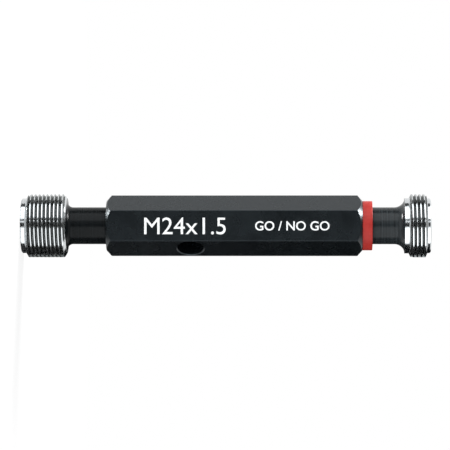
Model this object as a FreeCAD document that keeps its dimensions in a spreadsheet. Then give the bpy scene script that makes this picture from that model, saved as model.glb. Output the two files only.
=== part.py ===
import FreeCAD, Part
import math
import os
import Sketcher

# Double-ended thread plug gauge for an M24 x 1.5 nut thread. It stands on the end face of its
# GO member, with +Z up along the gauge's axis and the origin in the middle of that face.
# A hexagon handle has a 1:50 taper bore in each end. The two gauging members are wedged in
# them by their taper shanks, and a drift leant through the hole beyond each shank drives it out.
# Each plug is drawn as its thread blank, at the outside diameter of the fine thread on it.

SIZES = [
    # outside diameter of the gauging threads
    ("major_d", 24.0),
    # taper joint between member and handle, its ratio as length over diameter
    ("taper_ratio", 50.0),
    ("taper_mouth_d", 14.0),
    ("seat_clearance", 0.01),
    ("shank_chamfer", 0.6),
    # hexagon handle
    ("across_flats", 20.0),
    ("handle_length", 97.0),
    ("handle_edge_r", 0.25),
    ("end_face_d", 18.9),
    ("end_chamfer", 1.9),
    ("drift_hole_d", 10.0),
    ("drift_rim", 0.35),
    ("drift_inset", 32.0),
    ("shank_before_drift_hole", 0.5),
    ("bore_past_drift_hole", 1.0),
    ("drill_point_angle", 118.0),
    # what both members share
    ("centre_hole_d", 5.0),
    ("centre_hole_angle", 60.0),
    ("pilot_d", 20.8),
    ("pilot_chamfer", 0.4),
    ("shoulder_d", 21.0),
    ("fillet_top_d", 18.8),
    # GO member, from its end face towards the handle
    ("go_pilot_length", 1.65),
    ("go_thread_length", 14.6),
    ("go_back_chamfer", 0.95),
    ("go_fillet_length", 2.3),
    ("go_neck_length", 15.1),
    # NO GO member, from its end face towards the handle
    ("no_go_pilot_length", 1.2),
    ("no_go_thread_length", 7.1),
    ("no_go_relief_length", 1.6),
    ("no_go_fillet_length", 3.9),
    ("no_go_neck_length", 16.0),
    # red ring that marks the NO GO end
    ("ring_d", 18.7),
    ("ring_width", 3.8),
    ("ring_edge", 0.3),
    ("ring_clearance", 0.03),
]

doc = FreeCAD.newDocument("thread_plug_gauge")
sheet = doc.addObject("Spreadsheet::Sheet", "Sizes")
for row, (alias, value) in enumerate(SIZES, start=1):
    sheet.set("A%d" % row, alias)
    sheet.set("B%d" % row, str(value))
    sheet.setAlias("B%d" % row, alias)
doc.recompute()

# lengths along the axis that several pieces share, as expressions on the sheet
GO_THREAD_END = "(Sizes.go_pilot_length + Sizes.go_thread_length)"
GO_PLUG = "(" + GO_THREAD_END + " + Sizes.go_back_chamfer)"
NO_GO_THREAD_END = "(Sizes.no_go_pilot_length + Sizes.no_go_thread_length)"
NO_GO_PLUG = "(" + NO_GO_THREAD_END + " + Sizes.no_go_relief_length)"
SHANK = "(Sizes.drift_inset - Sizes.drift_hole_d / 2 - Sizes.shank_before_drift_hole)"
BORE = "(Sizes.drift_inset + Sizes.drift_hole_d / 2 + Sizes.bore_past_drift_hole)"
HANDLE_FOOT = "(" + GO_PLUG + " + Sizes.go_neck_length)"
HANDLE_TOP = "(" + HANDLE_FOOT + " + Sizes.handle_length)"
TOTAL = "(" + HANDLE_TOP + " + Sizes.no_go_neck_length + " + NO_GO_PLUG + ")"
NECK_R = "Sizes.taper_mouth_d / 2"
SHANK_END_R = "(Sizes.taper_mouth_d - " + SHANK + " / Sizes.taper_ratio) / 2"

FACET_TURN = 60  # degrees from one facet of the hexagon to the next


def newBody(label):
    body = doc.addObject("PartDesign::Body", label)
    body.Label = label
    return body


def newSketch(body, name, plane, turn=0, height=None):
    # an upright sketch can be swung about the body's Z axis, and lifted along it
    sketch = body.newObject("Sketcher::SketchObject", name)
    origin_plane = next(o for o in body.Origin.OriginFeatures if o.Role == plane)
    sketch.AttachmentSupport = [(origin_plane, "")]
    sketch.MapMode = "FlatFace"
    swing = FreeCAD.Rotation(FreeCAD.Vector(0, 1, 0), 1)
    sketch.AttachmentOffset = FreeCAD.Placement(FreeCAD.Vector(), swing)
    sketch.setExpression("AttachmentOffset.Rotation.Angle", str(turn))
    if height:
        sketch.setExpression("AttachmentOffset.Base.y", height)
    return sketch


def holdCorner(sketch, side, across, up):
    # bind the start of a side to two expressions, or to an axis where one of them is "0"
    for kind, axis, place in (("DistanceX", -2, across), ("DistanceY", -1, up)):
        if place == "0":
            sketch.addConstraint(Sketcher.Constraint("PointOnObject", side, 1, axis))
        else:
            number = sketch.addConstraint(Sketcher.Constraint(kind, -1, 1, side, 1, 1.0))
            sketch.setExpression("Constraints[%d]" % number, place)


def drawOutline(sketch, corners, arc_side=None):
    # A closed outline through the corners. The sides are first laid round a circle, and their
    # constraints then pull them into place. Side arc_side is an arc, tangent to the next side.
    count = len(corners)
    ring = [FreeCAD.Vector(math.cos(2 * math.pi * n / count), math.sin(2 * math.pi * n / count))
            for n in range(count)]
    for n in range(count):
        sketch.addGeometry(Part.LineSegment(ring[n], ring[(n + 1) % count]), False)
    for n, (across, up) in enumerate(corners):
        sketch.addConstraint(Sketcher.Constraint("Coincident", n, 1, (n - 1) % count, 2))
        holdCorner(sketch, n, across, up)
    doc.recompute()
    if arc_side is not None:
        bendSide(sketch, arc_side, arc_side + 1)


def bendSide(sketch, side, next_side):
    # put an arc over a straight side, which stays as a construction line
    start = sketch.getPoint(side, 1)
    end = sketch.getPoint(side, 2)
    onward = (sketch.getPoint(next_side, 2) - end).normalize()
    normal = FreeCAD.Vector(-onward.y, onward.x, 0)
    chord = start - end
    radius = chord.Length ** 2 / (2 * chord.dot(normal))
    centre = end + normal * radius
    middle = centre + ((start + end) / 2 - centre).normalize() * abs(radius)
    sketch.toggleConstruction(side)
    arc = sketch.addGeometry(Part.ArcOfCircle(start, middle, end), False)
    head = 1 if sketch.getPoint(arc, 1).distanceToPoint(start) < abs(radius) / 100 else 2
    sketch.addConstraint(Sketcher.Constraint("Coincident", arc, head, side, 1))
    sketch.addConstraint(Sketcher.Constraint("Tangent", arc, 3 - head, next_side, 1))


def turnSketch(body, kind, name, sketch, axis="V_Axis"):
    # a full turn of a sketch, as a Revolution that adds or a Groove that cuts
    before = body.Shape.Volume if kind == "Groove" else 0
    feature = body.newObject("PartDesign::" + kind, name)
    feature.Profile = sketch
    feature.ReferenceAxis = (sketch, [axis])
    feature.Angle = 360
    doc.recompute()
    if (kind == "Groove") == (body.Shape.Volume >= before):
        raise RuntimeError(name + " has changed nothing")
    return feature


def makeHandle():
    # A bar of hexagon stock with two of its edges on the X axis, so that a facet faces -Y.
    handle = newBody("handle")
    handle.setExpression("Placement.Base.z", HANDLE_FOOT)
    section = newSketch(handle, "handle_section", "XY_Plane")
    drawOutline(section, [("Sizes.across_flats / sqrt(3) * cos(%d deg)" % (n * FACET_TURN),
                           "0" if n % 3 == 0 else
                           "Sizes.across_flats / sqrt(3) * sin(%d deg)" % (n * FACET_TURN))
                          for n in range(6)])
    bar = handle.newObject("PartDesign::Pad", "handle_bar")
    bar.Profile = section
    bar.setExpression("Length", "Sizes.handle_length")
    doc.recompute()
    long_edges = ["Edge%d" % n for n, edge in enumerate(bar.Shape.Edges, start=1)
                  if abs(edge.tangentAt(edge.FirstParameter).z) > 0.9]
    edge_break = handle.newObject("PartDesign::Fillet", "handle_edge_break")
    edge_break.Base = (bar, long_edges)
    edge_break.setExpression("Radius", "Sizes.handle_edge_r")
    doc.recompute()
    for end, mouth, inward in (("go", "0", "+"), ("no_go", "Sizes.handle_length", "-")):
        cutHandleEnd(handle, end, mouth, inward)
    cutDriftHole(handle, "go", "Sizes.drift_inset", -FACET_TURN / 2)
    cutDriftHole(handle, "no_go", "Sizes.handle_length - Sizes.drift_inset", 180 - FACET_TURN / 2)
    return handle


def cutHandleEnd(handle, end, mouth, inward):
    # The turned chamfer, which runs out in an arc on each facet, and then the bore: reamed to
    # the taper as deep as the shank goes, and left as drilled past the drift hole.
    corner_r = "Sizes.across_flats / sqrt(3)"
    slope = "(%s - Sizes.end_face_d / 2) / Sizes.end_chamfer" % corner_r
    beyond = "Sizes.end_chamfer"
    chamfer = newSketch(handle, end + "_end_chamfer_section", "XZ_Plane")
    drawOutline(chamfer, [
        ("Sizes.end_face_d / 2", mouth),
        (corner_r + " + " + slope + " * " + beyond,
         "%s %s (Sizes.end_chamfer + %s)" % (mouth, inward, beyond)),
        (corner_r + " + " + slope + " * " + beyond, mouth),
    ])
    turnSketch(handle, "Groove", end + "_end_chamfer", chamfer)
    drilled_r = SHANK_END_R + " + Sizes.seat_clearance"
    point = "(%s) / tan(Sizes.drill_point_angle / 2)" % drilled_r
    bore = newSketch(handle, end + "_taper_bore_section", "XZ_Plane")
    drawOutline(bore, [
        ("0", mouth),
        (NECK_R + " + Sizes.seat_clearance", mouth),
        (drilled_r, "%s %s %s" % (mouth, inward, SHANK)),
        (drilled_r, "%s %s %s" % (mouth, inward, BORE)),
        ("0", "%s %s (%s + %s)" % (mouth, inward, BORE, point)),
    ])
    turnSketch(handle, "Groove", end + "_taper_bore", bore)


def cutDriftHole(handle, end, height, turn):
    # from the axis out through the middle of one facet, with a small countersunk rim
    facet = "Sizes.across_flats / 2"
    hole_r = "Sizes.drift_hole_d / 2"
    section = newSketch(handle, end + "_drift_hole_section", "XZ_Plane", turn, height)
    drawOutline(section, [
        ("0", "0"),
        (facet + " + Sizes.drift_rim", "0"),
        (facet + " + Sizes.drift_rim", hole_r + " + 2 * Sizes.drift_rim"),
        (facet + " - Sizes.drift_rim", hole_r),
        ("0", hole_r),
    ])
    turnSketch(handle, "Groove", end + "_drift_hole", section, "H_Axis")


def makeMember(end, plug, neck, fillet, back):
    # One hardened piece, drawn from its end face at the bottom up to the end of its taper
    # shank: centre hole, pilot, thread blank, back of the plug, fillet, neck and shank.
    member = newBody(end + "_member")
    centre_r = "Sizes.centre_hole_d / 2"
    thread_foot = "Sizes.%s_pilot_length" % end
    mouth = "%s + Sizes.%s" % (plug, neck)
    shank_end = "%s + %s" % (mouth, SHANK)
    taper = " / (2 * Sizes.taper_ratio)"
    front = [
        ("0", centre_r + " / tan(Sizes.centre_hole_angle / 2)"),
        (centre_r, "0"),
        ("Sizes.pilot_d / 2 - Sizes.pilot_chamfer", "0"),
        ("Sizes.pilot_d / 2", "Sizes.pilot_chamfer"),
        ("Sizes.pilot_d / 2", thread_foot),
        ("Sizes.major_d / 2", thread_foot),
    ]
    rear = [
        ("Sizes.fillet_top_d / 2", plug),
        (NECK_R, "%s + Sizes.%s" % (plug, fillet)),
        (NECK_R, mouth),
        (SHANK_END_R + " + Sizes.shank_chamfer" + taper, shank_end + " - Sizes.shank_chamfer"),
        (SHANK_END_R + " - Sizes.shank_chamfer", shank_end),
        ("0", shank_end),
    ]
    outline = newSketch(member, end + "_member_section", "XZ_Plane")
    drawOutline(outline, front + back + rear, arc_side=len(front + back))
    turnSketch(member, "Revolution", end + "_member_blank", outline)
    return member


def makeGoMember():
    # the long plug, chamfered at its back
    return makeMember("go", GO_PLUG, "go_neck_length", "go_fillet_length", [
        ("Sizes.major_d / 2", GO_THREAD_END),
        ("Sizes.shoulder_d / 2", GO_PLUG),
    ])


def makeNoGoMember():
    # The short plug, with room for few threads before a relief. It is drawn from its end face
    # up, like the other member, and then turned over to its place.
    member = makeMember("no_go", NO_GO_PLUG, "no_go_neck_length", "no_go_fillet_length", [
        ("Sizes.major_d / 2", NO_GO_THREAD_END),
        ("Sizes.shoulder_d / 2", NO_GO_THREAD_END),
        ("Sizes.shoulder_d / 2", NO_GO_PLUG),
    ])
    turned_over = FreeCAD.Rotation(FreeCAD.Vector(1, 0, 0), 180)
    member.Placement = FreeCAD.Placement(FreeCAD.Vector(), turned_over)
    member.setExpression("Placement.Base.z", TOTAL)
    return member


def makeRing():
    # pushed over the NO GO neck, against the end of the handle
    ring = newBody("no_go_ring")
    ring.setExpression("Placement.Base.z", HANDLE_TOP)
    inner_r = NECK_R + " + Sizes.ring_clearance"
    section = newSketch(ring, "ring_section", "XZ_Plane")
    drawOutline(section, [
        (inner_r, "0"),
        ("Sizes.ring_d / 2 - Sizes.ring_edge", "0"),
        ("Sizes.ring_d / 2", "Sizes.ring_edge"),
        ("Sizes.ring_d / 2", "Sizes.ring_width - Sizes.ring_edge"),
        ("Sizes.ring_d / 2 - Sizes.ring_edge", "Sizes.ring_width"),
        (inner_r, "Sizes.ring_width"),
    ])
    turnSketch(ring, "Revolution", "ring_blank", section)
    return ring


def checkAndWrite(bodies):
    doc.recompute()
    for item in doc.Objects:
        if "Invalid" in item.State or "Error" in item.State:
            raise RuntimeError("%s has failed: %s" % (item.Label, item.State))
    for body in bodies:
        if body.Shape.isNull() or not body.Shape.isValid() or len(body.Shape.Solids) != 1:
            raise RuntimeError(body.Label + " is not one valid solid")
    os.makedirs("parts", exist_ok=True)
    for body in bodies:
        body.Shape.exportStep("parts/%s.step" % body.Label)
        print("%-14s %9.1f mm3" % (body.Label, body.Shape.Volume))


checkAndWrite([makeHandle(), makeGoMember(), makeNoGoMember(), makeRing()])
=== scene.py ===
import math

import bmesh
import bpy
from mathutils import Vector, Matrix


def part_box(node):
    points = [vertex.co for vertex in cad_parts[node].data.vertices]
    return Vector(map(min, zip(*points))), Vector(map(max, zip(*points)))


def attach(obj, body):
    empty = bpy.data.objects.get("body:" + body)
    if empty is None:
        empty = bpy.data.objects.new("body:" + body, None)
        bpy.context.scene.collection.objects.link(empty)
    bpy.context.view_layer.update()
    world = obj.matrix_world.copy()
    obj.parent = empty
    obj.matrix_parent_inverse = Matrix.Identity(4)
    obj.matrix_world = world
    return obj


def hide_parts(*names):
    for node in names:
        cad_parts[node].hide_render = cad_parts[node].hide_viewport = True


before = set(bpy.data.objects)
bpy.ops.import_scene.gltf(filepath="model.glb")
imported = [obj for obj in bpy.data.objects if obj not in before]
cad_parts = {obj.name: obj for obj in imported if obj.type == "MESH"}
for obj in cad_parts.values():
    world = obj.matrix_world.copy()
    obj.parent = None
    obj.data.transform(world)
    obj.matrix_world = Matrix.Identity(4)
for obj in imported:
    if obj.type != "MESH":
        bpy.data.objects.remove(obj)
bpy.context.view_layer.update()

print("frame loaded:", ", ".join(sorted(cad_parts)))

mm = 0.001
scene = bpy.context.scene
scene.view_settings.view_transform = "Standard"


# small helpers

def linearColor(code):
    # "#rrggbb" in sRGB to the linear colour that the shader wants
    parts = [int(code[i:i + 2], 16) / 255 for i in (1, 3, 5)]
    linear = [c / 12.92 if c <= 0.04045 else ((c + 0.055) / 1.055) ** 2.4 for c in parts]
    return (*linear, 1.0)


def addNode(material, kind, settings=None, values=None, links=None):
    # settings are the node's own options, values its sockets, links what comes in from other nodes
    node = material.node_tree.nodes.new(kind)
    for key, value in (settings or {}).items():
        setattr(node, key, value)
    for key, value in (values or {}).items():
        node.inputs[key].default_value = value
    for key, source in (links or {}).items():
        material.node_tree.links.new(source, node.inputs[key])
    return node


def newMaterial(name):
    material = bpy.data.materials.new(name)
    material.use_nodes = True
    material.node_tree.nodes.clear()
    return material


def setRamp(node, stops):
    # stops: (position, sRGB code) pairs
    ramp = node.color_ramp
    while len(ramp.elements) < len(stops):
        ramp.elements.new(0.5)
    for element, (position, tone) in zip(ramp.elements, stops):
        element.position = position
        element.color = linearColor(tone)


def meshObject(name, bm, materials, edgeAngle=28):
    mesh = bpy.data.meshes.new(name)
    bm.normal_update()
    bm.to_mesh(mesh)
    bm.free()
    for face in mesh.polygons:
        face.use_smooth = True
    mesh.set_sharp_from_angle(angle=math.radians(edgeAngle))
    for material in materials:
        mesh.materials.append(material)
    piece = bpy.data.objects.new(name, mesh)
    scene.collection.objects.link(piece)
    return piece


# camera: level with the gauge, which stands on its GO end, so the picture is turned a quarter

cameraSet = {
    "distance": 1.14,
    "height": 0.106,      # level of the lens over the floor
    "aimX": -0.00027,
    "aimZ": 0.0772,
    "lens": 240,
}

camera = bpy.data.objects.new("camera", bpy.data.cameras.new("camera"))
scene.collection.objects.link(camera)
scene.camera = camera
camera.data.lens = cameraSet["lens"]
camera.data.sensor_width = 36
camera.data.clip_start = 0.05
camera.data.clip_end = 50
cameraPlace = Vector((cameraSet["aimX"], -cameraSet["distance"], cameraSet["height"]))
lookAlong = (Vector((cameraSet["aimX"], 0, cameraSet["aimZ"])) - cameraPlace).normalized()
cameraUp = Vector((-1, 0, 0))
cameraRight = lookAlong.cross(cameraUp)
turn = Matrix((cameraRight, cameraUp, -lookAlong)).transposed()
camera.matrix_world = Matrix.Translation(cameraPlace) @ turn.to_4x4()
print("camera placed")


# materials

grain = {
    "turningLine": 0.12,   # mm between the finest turning marks
    "anodisePore": 0.25,   # mm, the matt tooth of the anodised skin, drawn coarser than real
}


def groundSteel(name, tones, roughness):
    # hardened gauge steel, thread-ground: bright and cool, with fine rings round the axis
    material = newMaterial(name)
    place = addNode(material, "ShaderNodeTexCoord")
    lines = addNode(material, "ShaderNodeMapping", {"vector_type": "POINT"},
                    {"Scale": (60, 60, 1000 / grain["turningLine"])},
                    {"Vector": place.outputs["Object"]})
    rings = addNode(material, "ShaderNodeTexNoise", {}, {"Scale": 1.0, "Detail": 3.0, "Roughness": 0.6},
                    {"Vector": lines.outputs["Vector"]})
    cloud = addNode(material, "ShaderNodeTexNoise", {}, {"Scale": 260.0, "Detail": 4.0},
                    {"Vector": place.outputs["Object"]})
    tone = addNode(material, "ShaderNodeValToRGB", {}, {}, {"Fac": rings.outputs["Fac"]})
    setRamp(tone, [(0.25, tones[0]), (0.75, tones[1])])
    rough = addNode(material, "ShaderNodeMapRange", {},
                    {"From Min": 0.3, "From Max": 0.7, "To Min": roughness, "To Max": roughness + 0.07},
                    {"Value": cloud.outputs["Fac"]})
    bump = addNode(material, "ShaderNodeBump", {}, {"Strength": 0.2, "Distance": 0.00002},
                   {"Height": rings.outputs["Fac"]})
    surface = addNode(material, "ShaderNodeBsdfPrincipled", {}, {"Metallic": 1.0},
                      {"Base Color": tone.outputs["Color"], "Roughness": rough.outputs["Result"],
                       "Normal": bump.outputs["Normal"]})
    addNode(material, "ShaderNodeOutputMaterial", {}, {}, {"Surface": surface.outputs["BSDF"]})
    return material


def blackenedSteel(name, tones, ior, markWidth, markDepth):
    # the same steel under a hot black oxide: deep blue-black, with the turning marks under it
    material = newMaterial(name)
    place = addNode(material, "ShaderNodeTexCoord")
    lines = addNode(material, "ShaderNodeMapping", {"vector_type": "POINT"},
                    {"Scale": (30, 30, 1000 / markWidth)},
                    {"Vector": place.outputs["Object"]})
    rings = addNode(material, "ShaderNodeTexNoise", {}, {"Scale": 1.0, "Detail": 4.0, "Roughness": 0.65},
                    {"Vector": lines.outputs["Vector"]})
    tone = addNode(material, "ShaderNodeValToRGB", {}, {}, {"Fac": rings.outputs["Fac"]})
    setRamp(tone, [(0.3, tones[0]), (0.7, tones[1])])
    rough = addNode(material, "ShaderNodeMapRange", {},
                    {"From Min": 0.3, "From Max": 0.7, "To Min": 0.2, "To Max": 0.3},
                    {"Value": rings.outputs["Fac"]})
    bump = addNode(material, "ShaderNodeBump", {}, {"Strength": 0.35, "Distance": markDepth * mm},
                   {"Height": rings.outputs["Fac"]})
    surface = addNode(material, "ShaderNodeBsdfPrincipled", {}, {"Metallic": 0.0, "IOR": ior},
                      {"Base Color": tone.outputs["Color"], "Roughness": rough.outputs["Result"],
                       "Normal": bump.outputs["Normal"]})
    addNode(material, "ShaderNodeOutputMaterial", {}, {}, {"Surface": surface.outputs["BSDF"]})
    return material


def blackAnodised():
    # aluminium bar, black anodised: an even satin skin that lifts to grey where it mirrors the light
    material = newMaterial("aluminium, black anodised satin")
    place = addNode(material, "ShaderNodeTexCoord")
    pores = addNode(material, "ShaderNodeTexNoise", {},
                    {"Scale": 1000 / grain["anodisePore"], "Detail": 3.0, "Roughness": 0.6},
                    {"Vector": place.outputs["Object"]})
    cloud = addNode(material, "ShaderNodeTexNoise", {}, {"Scale": 120.0, "Detail": 5.0},
                    {"Vector": place.outputs["Object"]})
    tone = addNode(material, "ShaderNodeValToRGB", {}, {}, {"Fac": cloud.outputs["Fac"]})
    setRamp(tone, [(0.3, "#090c0e"), (0.7, "#0d1113")])
    rough = addNode(material, "ShaderNodeMapRange", {},
                    {"From Min": 0.3, "From Max": 0.7, "To Min": 0.24, "To Max": 0.3},
                    {"Value": cloud.outputs["Fac"]})
    bump = addNode(material, "ShaderNodeBump", {}, {"Strength": 0.2, "Distance": 0.00003},
                   {"Height": pores.outputs["Fac"]})
    surface = addNode(material, "ShaderNodeBsdfPrincipled", {},
                      {"Metallic": 0.0, "Specular Tint": linearColor("#dcecf5")},
                      {"Base Color": tone.outputs["Color"], "Roughness": rough.outputs["Result"],
                       "Normal": bump.outputs["Normal"]})
    addNode(material, "ShaderNodeOutputMaterial", {}, {}, {"Surface": surface.outputs["BSDF"]})
    return material


def redMouldedPlastic():
    # moulded red plastic, satin: a strong warm red with a soft edge light
    material = newMaterial("red moulded plastic, satin")
    place = addNode(material, "ShaderNodeTexCoord")
    cloud = addNode(material, "ShaderNodeTexNoise", {}, {"Scale": 900.0, "Detail": 4.0},
                    {"Vector": place.outputs["Object"]})
    tone = addNode(material, "ShaderNodeValToRGB", {}, {}, {"Fac": cloud.outputs["Fac"]})
    setRamp(tone, [(0.3, "#a5231d"), (0.7, "#b02a22")])
    bump = addNode(material, "ShaderNodeBump", {}, {"Strength": 0.2, "Distance": 0.00003},
                   {"Height": cloud.outputs["Fac"]})
    surface = addNode(material, "ShaderNodeBsdfPrincipled", {}, {"Roughness": 0.5, "IOR": 1.4},
                      {"Base Color": tone.outputs["Color"], "Normal": bump.outputs["Normal"]})
    addNode(material, "ShaderNodeOutputMaterial", {}, {}, {"Surface": surface.outputs["BSDF"]})
    return material


def whitePaint():
    # white marking ink, screen printed: flat and opaque, a little uneven
    material = newMaterial("white marking ink, printed")
    place = addNode(material, "ShaderNodeTexCoord")
    cloud = addNode(material, "ShaderNodeTexNoise", {}, {"Scale": 1400.0, "Detail": 3.0},
                    {"Vector": place.outputs["Object"]})
    tone = addNode(material, "ShaderNodeValToRGB", {}, {}, {"Fac": cloud.outputs["Fac"]})
    setRamp(tone, [(0.3, "#eceeee"), (0.7, "#fbfcfc")])
    surface = addNode(material, "ShaderNodeBsdfPrincipled", {}, {"Roughness": 0.6},
                      {"Base Color": tone.outputs["Color"]})
    addNode(material, "ShaderNodeOutputMaterial", {}, {}, {"Surface": surface.outputs["BSDF"]})
    return material


steelBright = groundSteel("gauge steel, ground bright", ("#c6cacc", "#e2e5e6"), 0.13)
# the flanks and roots take a darker, rougher copy of the ground steel: painted shade that draws the dark
# lines in the grooves
steelGrooveShade = groundSteel("gauge steel, darker in the groove as painted shade", ("#6f716f", "#8d9192"), 0.24)
goBlack = blackenedSteel("steel, hot blackened and polished", ("#0a0c0d", "#101416"), 1.2, 0.6, 0.02)
noGoBlack = blackenedSteel("steel, hot blackened over turning", ("#15191b", "#2c3235"), 1.3, 0.5, 0.05)
handleSkin = blackAnodised()
ringPlastic = redMouldedPlastic()
markingInk = whitePaint()
print("materials made")


# turned pieces: rows of points round Z, each row one (radius, height) for every column

columns = 240


def plainRow(radius, height):
    return [(radius, height)] * columns


def turnedPiece(name, rows, finishes, materials, isShadedGroove=None):
    # rows: from the first end to the other; finishes: the material number of the band after each row
    bm = bmesh.new()
    grid = []
    for row in rows:
        ring = []
        for i, (radius, height) in enumerate(row):
            angle = 2 * math.pi * i / columns
            x, y = radius * math.cos(angle) * mm, radius * math.sin(angle) * mm
            ring.append(bm.verts.new((x, y, height * mm)))
        grid.append(ring)
    for j in range(len(rows) - 1):
        for i in range(columns):
            k = (i + 1) % columns
            face = bm.faces.new((grid[j][i], grid[j][k], grid[j + 1][k], grid[j + 1][i]))
            face.material_index = finishes[j]
            # faces deep in the groove take material 2, the steel with painted groove shade
            if isShadedGroove and isShadedGroove(face.calc_center_median() / mm):
                face.material_index = 2
    # where the helix is cut by an end plane its rows fall together, and are joined again here
    bmesh.ops.remove_doubles(bm, verts=bm.verts, dist=2e-7)
    bmesh.ops.dissolve_degenerate(bm, dist=1e-7, edges=bm.edges)
    bmesh.ops.recalc_face_normals(bm, faces=bm.faces)
    return meshObject(name, bm, materials)


thread = {
    "crest": 12.0,          # M24 x 1.5, in mm
    "depth": 0.92,
    "pitch": 1.5,
    "flankAngle": 30,       # each flank from the square to the axis
    "crestFlat": 0.38,
}


def threadRadius(height, turnPart, groove):
    # the height of a right-hand thread whose groove starts at groove mm on the +X side
    pitch = thread["pitch"]
    u = ((height - groove) / pitch - turnPart) % 1.0
    away = min(u, 1 - u) * pitch                       # from the nearest groove's middle
    rise = math.tan(math.radians(thread["flankAngle"]))
    rootHalf = pitch / 2 - thread["crestFlat"] / 2 - thread["depth"] * rise
    root = thread["crest"] - thread["depth"]
    return min(thread["crest"], max(root, root + (away - rootHalf) / rise))


def inShadedGroove(centre, start, end, limit):
    # true for a face of the thread that lies clearly under its crest and under the chamfers; such faces
    # get the darker steel, painted shade in the grooves
    radius = math.hypot(centre.x, centre.y)
    return start < centre.z < end and radius < limit(centre.z) - 0.04


def threadSteps():
    # where along one turn the rows lie, from the middle of a groove to the middle of the next
    pitch, crestHalf = thread["pitch"], thread["crestFlat"] / 2
    rise = math.tan(math.radians(thread["flankAngle"]))
    rootHalf = pitch / 2 - crestHalf - thread["depth"] * rise
    flank = thread["depth"] * rise
    up = [rootHalf + flank * part for part in (0, 0.2, 0.4, 0.6, 0.8, 1.0)]
    return [0.0, *up, pitch / 2, *[pitch - step for step in reversed(up)]]


def threadRows(start, end, groove, limit):
    # rows that follow the helix, held between the two planes, under the chamfers that limit() gives
    pitch = thread["pitch"]
    steps = threadSteps()
    first = math.floor((start - groove) / pitch) - 2
    last = math.ceil((end - groove) / pitch) + 1
    rows = []
    for n in range(first, last + 1):
        for step in steps:
            row = []
            for i in range(columns):
                part = i / columns
                height = groove + pitch * (n + part) + step
                height = min(end, max(start, height))
                row.append((min(threadRadius(height, part, groove), limit(height)), height))
            if any(start < h < end for r, h in row):
                rows.append(row)

    def cutAt(height):
        return [(min(threadRadius(height, i / columns, groove), limit(height)), height)
                for i in range(columns)]

    return [cutAt(start), *rows, cutAt(end)]


def arcRows(centre, radius, fromAngle, toAngle, count):
    # part of a circle in the (radius, height) plane, for fillets and rounded edges
    made = []
    for n in range(count + 1):
        a = math.radians(fromAngle + (toAngle - fromAngle) * n / count)
        made.append((centre[0] + radius * math.cos(a), centre[1] + radius * math.sin(a)))
    return made


goPlug = {
    "pilotRadius": 10.4,
    "pilotLength": 1.65,
    "pilotChamfer": 0.4,
    "centreHoleRadius": 2.5,
    "leadEnd": 2.65,         # height where the lead chamfer meets the crests
    "chamferStart": 16.25,
    "chamferEnd": 17.2,
    "chamferRadius": 10.5,
    "shoulderRadius": 9.4,
    "filletEnd": 19.5,
    "neckRadius": 7.0,
    "groove": 0.56,
    "shank": 26.5,
    "taper": 50,
    "shankPlay": 0.01,
    "shankChamfer": 0.6,
}


def buildGoPlug(size):
    # the plug from its centre hole up to the shank's end; heights from the face it stands on
    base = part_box("go_member")[0].z / mm
    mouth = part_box("handle")[0].z / mm
    rows, finishes = [], []

    def add(points, finish):
        for radius, height in points:
            rows.append(plainRow(radius, base + height))
            finishes.append(finish)

    cone = size["centreHoleRadius"] / math.tan(math.radians(30))
    add([(0, cone), (size["centreHoleRadius"], 0), (size["pilotRadius"] - size["pilotChamfer"], 0),
         (size["pilotRadius"], size["pilotChamfer"])], 0)

    def limit(height):
        z = height - base
        lead = size["pilotRadius"] + (z - size["pilotLength"]) / (size["leadEnd"] - size["pilotLength"]) \
            * (thread["crest"] - size["pilotRadius"])
        back = thread["crest"] - (z - size["chamferStart"]) / (size["chamferEnd"] - size["chamferStart"]) \
            * (thread["crest"] - size["chamferRadius"])
        return min(thread["crest"], lead, back)

    helical = threadRows(base + size["pilotLength"], base + size["chamferEnd"],
                         base + size["groove"], limit)
    rows.extend(helical)
    finishes.extend([0] * len(helical))
    finishes[-1] = 1
    drop = size["shoulderRadius"] - size["neckRadius"]
    rise = size["filletEnd"] - size["chamferEnd"]
    fillet = []
    for n in range(13):
        a = math.radians(90 * n / 12)
        fillet.append((size["neckRadius"] + drop * (1 - math.sin(a)),
                       size["chamferEnd"] + rise * (1 - math.cos(a))))
    add(fillet, 1)
    top = mouth + size["shank"]
    slope = 1 / (2 * size["taper"])
    shankMouth = size["neckRadius"] - size["shankPlay"]
    add([(size["neckRadius"], mouth - base - 0.05), (shankMouth, mouth - base)], 1)
    add([(shankMouth - slope * (size["shank"] - size["shankChamfer"]), top - size["shankChamfer"] - base),
         (shankMouth - slope * size["shank"] - size["shankChamfer"], top - base), (0, top - base)], 1)
    return turnedPiece("goPlug", rows, finishes, [steelBright, goBlack, steelGrooveShade],
                       lambda c: inShadedGroove(c, base + size["pilotLength"], base + size["chamferEnd"], limit))


goPiece = buildGoPlug(goPlug)
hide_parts("go_member")
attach(goPiece, "root")
print("GO plug built:", len(goPiece.data.polygons), "faces")


noGoPlug = {
    "filletEnd": 12.2,       # all from the ring's outer face, where the neck comes out
    "reliefEnd": 13.8,
    "threadEnd": 20.9,
    "pilotEnd": 22.1,
    "filletLength": 3.9,
    "neckRadius": 7.0,
    "shoulderRadius": 10.5,
    "pilotRadius": 10.4,
    "pilotChamfer": 0.4,
    "centreHoleRadius": 2.5,
    "leadLength": 0.7,
    "groove": 155.5,
    "shank": 26.5,
    "taper": 50,
    "shankPlay": 0.01,
    "shankChamfer": 0.6,
}


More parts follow.
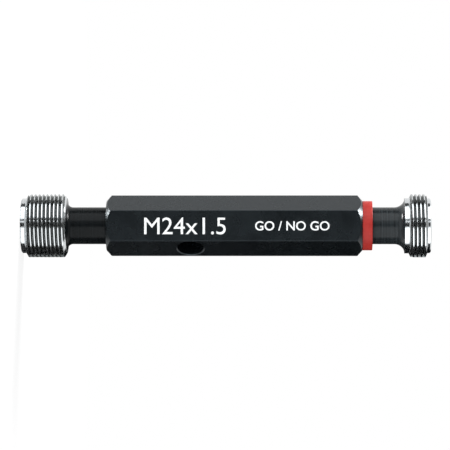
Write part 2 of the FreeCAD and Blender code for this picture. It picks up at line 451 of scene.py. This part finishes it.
def buildNoGoPlug(size):
    # from the shank's inner end out to the centre hole in the end face
    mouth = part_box("handle")[1].z / mm
    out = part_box("no_go_ring")[1].z / mm
    rows, finishes = [], []

    def add(points, finish):
        for radius, height in points:
            rows.append(plainRow(radius, height))
            finishes.append(finish)

    slope = 1 / (2 * size["taper"])
    inner = mouth - size["shank"]
    shankMouth = size["neckRadius"] - size["shankPlay"]
    add([(0, inner), (shankMouth - slope * size["shank"] - size["shankChamfer"], inner),
         (shankMouth - slope * (size["shank"] - size["shankChamfer"]), inner + size["shankChamfer"]),
         (shankMouth, mouth), (size["neckRadius"], mouth + 0.05)], 1)
    filletStart = out + size["filletEnd"] - size["filletLength"]
    drop = size["shoulderRadius"] - size["neckRadius"]
    fillet = []
    for n in range(15):
        a = math.radians(90 * n / 14)
        fillet.append((size["neckRadius"] + drop * (1 - math.cos(a)),
                       filletStart + size["filletLength"] * math.sin(a)))
    add(fillet, 1)
    finishes[-1] = 0
    threadStart, threadEnd = out + size["reliefEnd"], out + size["threadEnd"]

    def limit(height):
        lead = size["shoulderRadius"] + (height - threadStart) / size["leadLength"] \
            * (thread["crest"] - size["shoulderRadius"])
        back = size["pilotRadius"] + (threadEnd - height) / size["leadLength"] \
            * (thread["crest"] - size["pilotRadius"])
        return min(thread["crest"], lead, back)

    helical = threadRows(threadStart, threadEnd, size["groove"], limit)
    rows.extend(helical)
    finishes.extend([0] * len(helical))
    end = out + size["pilotEnd"]
    cone = size["centreHoleRadius"] / math.tan(math.radians(30))
    add([(size["pilotRadius"], end - size["pilotChamfer"]),
         (size["pilotRadius"] - size["pilotChamfer"], end),
         (size["centreHoleRadius"], end), (0, end - cone)], 0)
    return turnedPiece("noGoPlug", rows, finishes, [steelBright, noGoBlack, steelGrooveShade],
                       lambda c: inShadedGroove(c, threadStart, threadEnd, limit))


noGoPiece = buildNoGoPlug(noGoPlug)
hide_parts("no_go_member")
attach(noGoPiece, "root")
print("NO GO plug built:", len(noGoPiece.data.polygons), "faces")


# red ring between the handle and the NO GO plug

ringSet = {
    "outer": 9.35,
    "bore": 7.03,
    "edge": 0.3,
}


def buildRing(size):
    low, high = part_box("no_go_ring")[0].z / mm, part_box("no_go_ring")[1].z / mm
    rim = size["outer"] - size["edge"]
    points = [(size["bore"], low)]
    points += arcRows((rim, low + size["edge"]), size["edge"], -90, 0, 5)
    points += arcRows((rim, high - size["edge"]), size["edge"], 0, 90, 5)
    points += [(size["bore"], high), (size["bore"], low)]
    rows = [plainRow(radius, height) for radius, height in points]
    return turnedPiece("noGoRing", rows, [0] * len(rows), [ringPlastic])


ringPiece = buildRing(ringSet)
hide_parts("no_go_ring")
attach(ringPiece, "root")
print("ring built")


# handle: the CAD bar stays and gets its finish

handle = bpy.data.objects["handle"]
if not handle.material_slots:
    handle.data.materials.append(handleSkin)
for part in handle.material_slots:
    part.material = handleSkin
print("handle finished")


# generic white markings on the facet that faces -Y

markingSet = {
    "lift": 0.02,            # mm of ink over the facet
    "large": {"text": "M24x1.5", "bold": 0, "capHeight": 6.4, "start": 46.3, "middle": 0.0},
    "small": {"text": "GO / NO GO", "bold": 0.06, "capHeight": 3.4, "start": 88.6, "middle": 0.0},
}


def buildMarking(name, size, lift):
    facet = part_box("handle")[0].y
    curve = bpy.data.curves.new(name, "FONT")
    curve.body = size["text"]
    curve.size = size["capHeight"] * mm / 0.7
    curve.extrude = lift * mm / 2
    curve.offset = size["bold"] * mm
    piece = bpy.data.objects.new(name, curve)
    scene.collection.objects.link(piece)
    # the letters read along +Z with their tops to -X
    right, up = Vector((0, 0, 1)), Vector((-1, 0, 0))
    turned = Matrix((right, up, right.cross(up))).transposed().to_4x4()
    piece.matrix_world = Matrix.Translation((size["capHeight"] * mm / 2 + size["middle"] * mm,
                                             facet - lift * mm / 2, size["start"] * mm)) @ turned
    curve.materials.append(markingInk)
    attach(piece, "root")
    return piece


for markingName in ("large", "small"):
    buildMarking("marking" + markingName.capitalize(), markingSet[markingName], markingSet["lift"])
print("markings set")


# floor, world and lights

def groundMaterial():
    # polished white floor: white to the lens, with its own shading and shadow kept near the gauge,
    # and a clear mirror to the reflections in the steel
    material = newMaterial("studio floor, polished white")
    seen = addNode(material, "ShaderNodeLightPath")
    place = addNode(material, "ShaderNodeTexCoord")
    away = addNode(material, "ShaderNodeVectorMath", {"operation": "LENGTH"}, {},
                   {0: place.outputs["Object"]})
    share = addNode(material, "ShaderNodeMapRange", {},
                    {"From Min": 0.05, "From Max": 0.35, "To Min": 0.85, "To Max": 1.0},
                    {"Value": away.outputs["Value"]})
    share = addNode(material, "ShaderNodeMath", {"operation": "MULTIPLY"}, {},
                    {0: share.outputs["Result"], 1: seen.outputs["Is Camera Ray"]})
    matt = addNode(material, "ShaderNodeBsdfDiffuse", {}, {"Color": linearColor("#f4f4f4")})
    glow = addNode(material, "ShaderNodeEmission", {}, {"Color": (1, 1, 1, 1), "Strength": 1.0})
    polish = addNode(material, "ShaderNodeBsdfGlossy", {},
                     {"Color": linearColor("#f4f4f4"), "Roughness": 0.0})
    near = addNode(material, "ShaderNodeMixShader", {}, {},
                   {0: share.outputs["Value"], 1: matt.outputs["BSDF"], 2: glow.outputs["Emission"]})
    mirrored = addNode(material, "ShaderNodeMixShader", {}, {},
                       {0: seen.outputs["Is Glossy Ray"], 1: near.outputs["Shader"],
                        2: polish.outputs["BSDF"]})
    addNode(material, "ShaderNodeOutputMaterial", {}, {}, {"Surface": mirrored.outputs["Shader"]})
    return material


def buildFloor():
    bm = bmesh.new()
    half = 4.0
    corners = ((-half, -half), (half, -half), (half, half), (-half, half))
    bm.faces.new([bm.verts.new((x, y, 0)) for x, y in corners])
    floor = meshObject("studioFloor", bm, [groundMaterial()])
    return floor


buildFloor()

world = bpy.data.worlds.new("studioAir")
scene.world = world
world.use_nodes = True
world.node_tree.nodes.clear()
airSeen = addNode(world, "ShaderNodeLightPath")
airAny = addNode(world, "ShaderNodeMath", {"operation": "MAXIMUM"}, {},
                 {0: airSeen.outputs["Is Camera Ray"], 1: airSeen.outputs["Is Glossy Ray"]})
airAny = addNode(world, "ShaderNodeMath", {"operation": "MAXIMUM"}, {},
                 {0: airAny.outputs["Value"], 1: airSeen.outputs["Is Transmission Ray"]})
airLight = addNode(world, "ShaderNodeBackground", {}, {"Color": (1, 1, 1, 1), "Strength": 0.6})
airWhite = addNode(world, "ShaderNodeBackground", {}, {"Color": (1, 1, 1, 1), "Strength": 1.0})
airMix = addNode(world, "ShaderNodeMixShader", {}, {},
                 {0: airAny.outputs["Value"], 1: airLight.outputs["Background"],
                  2: airWhite.outputs["Background"]})
addNode(world, "ShaderNodeOutputWorld", {}, {}, {"Surface": airMix.outputs["Shader"]})

# angles go round the gauge from the lens side (0) over -X (90) to the far side (180)
lampTint = (0.93, 0.97, 1.0)   # a touch cooler than the white floor

# level 1 shows as white in a perfect mirror; low and high are heights over the floor in metres
lightSet = {
    "softbox": {"from": 30, "to": 86, "away": 0.9, "low": 0.0, "high": 0.6, "level": 1.7},
    "strip": {"from": 16, "to": 18.5, "away": 1.0, "low": 0.0, "high": 0.5, "level": 2.2},
    "fillLow": {"from": -78, "to": -7, "away": 1.0, "low": 0.0, "high": 0.13, "level": 0.7},
    "fillHigh": {"from": -78, "to": -7, "away": 1.0, "low": 0.13, "high": 0.5, "level": 1.5},
}

flagSet = {
    "lensFlag": {"from": -7, "to": 16, "away": 1.3, "low": 0.0, "high": 0.8, "tone": "#101214"},
    "gapFlag": {"from": 18.5, "to": 29.5, "away": 1.0, "low": 0.0, "high": 0.7, "tone": "#101214"},
    "upperFlag": {"from": 86, "to": 108, "away": 0.9, "low": 0.0, "high": 0.7, "tone": "#16191b"},
    "lowerFlag": {"from": -180, "to": -80, "away": 1.0, "low": 0.0, "high": 0.7, "tone": "#101214"},
}


def roundGauge(degrees, away, height):
    a = math.radians(degrees)
    return Vector((-math.sin(a) * away, -math.cos(a) * away, height))


def addLight(name, size):
    lamp = bpy.data.objects.new(name, bpy.data.lights.new(name, "AREA"))
    scene.collection.objects.link(lamp)
    a, b = size["from"], size["to"]
    place = roundGauge((a + b) / 2, size["away"], (size["low"] + size["high"]) / 2)
    lamp.data.shape = "RECTANGLE"
    lamp.data.size = 2 * size["away"] * math.tan(math.radians((b - a) / 2))
    lamp.data.size_y = size["high"] - size["low"]
    lamp.data.energy = size["level"] * math.pi * lamp.data.size * lamp.data.size_y
    lamp.visible_camera = False
    lamp.data.color = lampTint
    inward = -Vector((place.x, place.y, 0)).normalized()
    side = Vector((0, 0, 1)).cross(-inward)
    facing = Matrix((side, Vector((0, 0, 1)), -inward)).transposed()
    lamp.matrix_world = Matrix.Translation(place) @ facing.to_4x4()
    return lamp


def flagMaterial(name, tone):
    # black studio card, cloth covered
    material = newMaterial(name)
    matt = addNode(material, "ShaderNodeBsdfDiffuse", {}, {"Color": linearColor(tone)})
    addNode(material, "ShaderNodeOutputMaterial", {}, {}, {"Surface": matt.outputs["BSDF"]})
    return material


def addFlag(name, size):
    # a curved card round the gauge; only reflections and light see it
    bm = bmesh.new()
    count = max(2, int(abs(size["to"] - size["from"]) / 4))
    low, high = [], []
    for n in range(count + 1):
        a = size["from"] + (size["to"] - size["from"]) * n / count
        low.append(bm.verts.new(roundGauge(a, size["away"], size["low"] + 0.002)))
        high.append(bm.verts.new(roundGauge(a, size["away"], size["high"])))
    for n in range(count):
        bm.faces.new((low[n], low[n + 1], high[n + 1], high[n]))
    card = meshObject(name, bm, [flagMaterial(name + " cloth", size["tone"])])
    card.visible_camera = False
    card.visible_shadow = False
    return card


topLampSet = {
    "place": (-0.45, 0.2, 1.0),
    "size": 0.3,
    "power": 14,
}


def addTopLamp(size):
    # a round lamp over the NO GO end, aimed at the floor's middle
    lamp = bpy.data.objects.new("topLamp", bpy.data.lights.new("topLamp", "AREA"))
    scene.collection.objects.link(lamp)
    lamp.data.shape = "DISK"
    lamp.data.size = size["size"]
    lamp.data.energy = size["power"]
    lamp.visible_camera = False
    place = Vector(size["place"])
    lamp.matrix_world = Matrix.Translation(place) @ place.to_track_quat("Z", "Y").to_matrix().to_4x4()


addTopLamp(topLampSet)
for lightName, lightSize in lightSet.items():
    addLight(lightName, lightSize)
for flagName, flagSize in flagSet.items():
    addFlag(flagName, flagSize)
print("floor and lights set")
